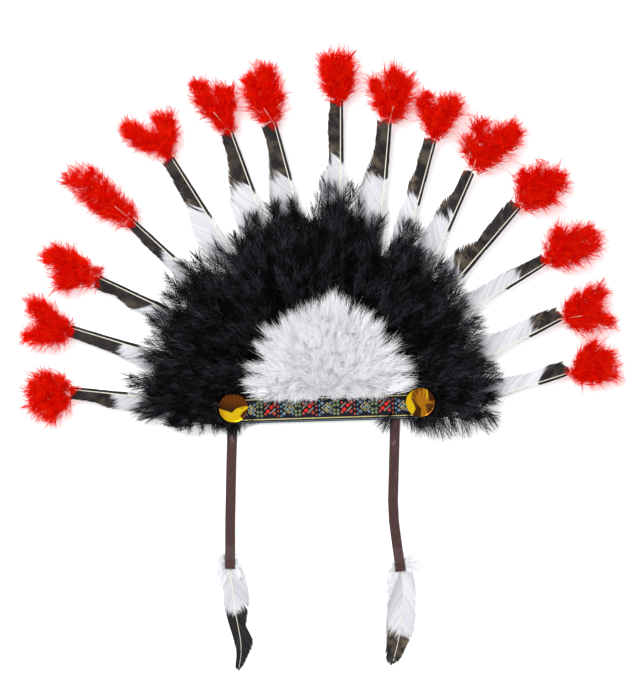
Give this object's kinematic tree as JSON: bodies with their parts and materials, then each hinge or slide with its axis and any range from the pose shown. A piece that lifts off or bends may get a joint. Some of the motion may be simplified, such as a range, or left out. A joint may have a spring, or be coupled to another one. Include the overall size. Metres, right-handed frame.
{
  "type": "feathered headdress",
  "caption": "Fan of banded feathers with red down tips over black and white marabou, on a woven ribbon band with gold discs and feather-tipped straps, lying flat.",
  "frame": {"origin": "under the middle of the ribbon band, on the felt's flat back", "axes": "+X along the band to the viewer's right, +Y from the band towards the feather tips, +Z away from the surface it lies on, out of its front"},
  "size_m": [0.5934, 0.6189, 0.0433],
  "materials": {
    "felt": "matt black felt",
    "ribbon": "woven jacquard with flowers and gold lines on dark blue",
    "disc": "amber mirror",
    "strap": "satin brown leatherette",
    "vane": "feather, white with mottled brown-black ends and a cream shaft",
    "red_down": "dyed marabou down",
    "white_down": "marabou down",
    "black_down": "dyed marabou down"
  },
  "bodies": {
    "root": {"felt_backing": "felt", "ribbon_band": "ribbon", "disc_left": "disc", "disc_right": "disc", "white_marabou_centre": "white_down", "black_marabou_ruff": "black_down", "long_feather_01": "vane", "long_feather_02": "vane", "long_feather_03": "vane", "long_feather_04": "vane", "long_feather_05": "vane", "long_feather_06": "vane", "long_feather_07": "vane", "long_feather_08": "vane", "long_feather_09": "vane", "long_feather_10": "vane", "long_feather_11": "vane", "long_feather_12": "vane", "long_feather_13": "vane", "long_feather_14": "vane", "long_feather_15": "vane", "tip_tuft_01": "red_down", "tip_tuft_02": "red_down", "tip_tuft_03": "red_down", "tip_tuft_04": "red_down", "tip_tuft_05": "red_down", "tip_tuft_06": "red_down", "tip_tuft_07": "red_down", "tip_tuft_08": "red_down", "tip_tuft_09": "red_down", "tip_tuft_10": "red_down", "tip_tuft_11": "red_down", "tip_tuft_12": "red_down", "tip_tuft_13": "red_down", "tip_tuft_14": "red_down", "tip_tuft_15": "red_down", "strap_left": "strap", "strap_right": "strap", "strap_feather_left": "vane", "strap_feather_right": "vane"}
  },
  "joints": []
}
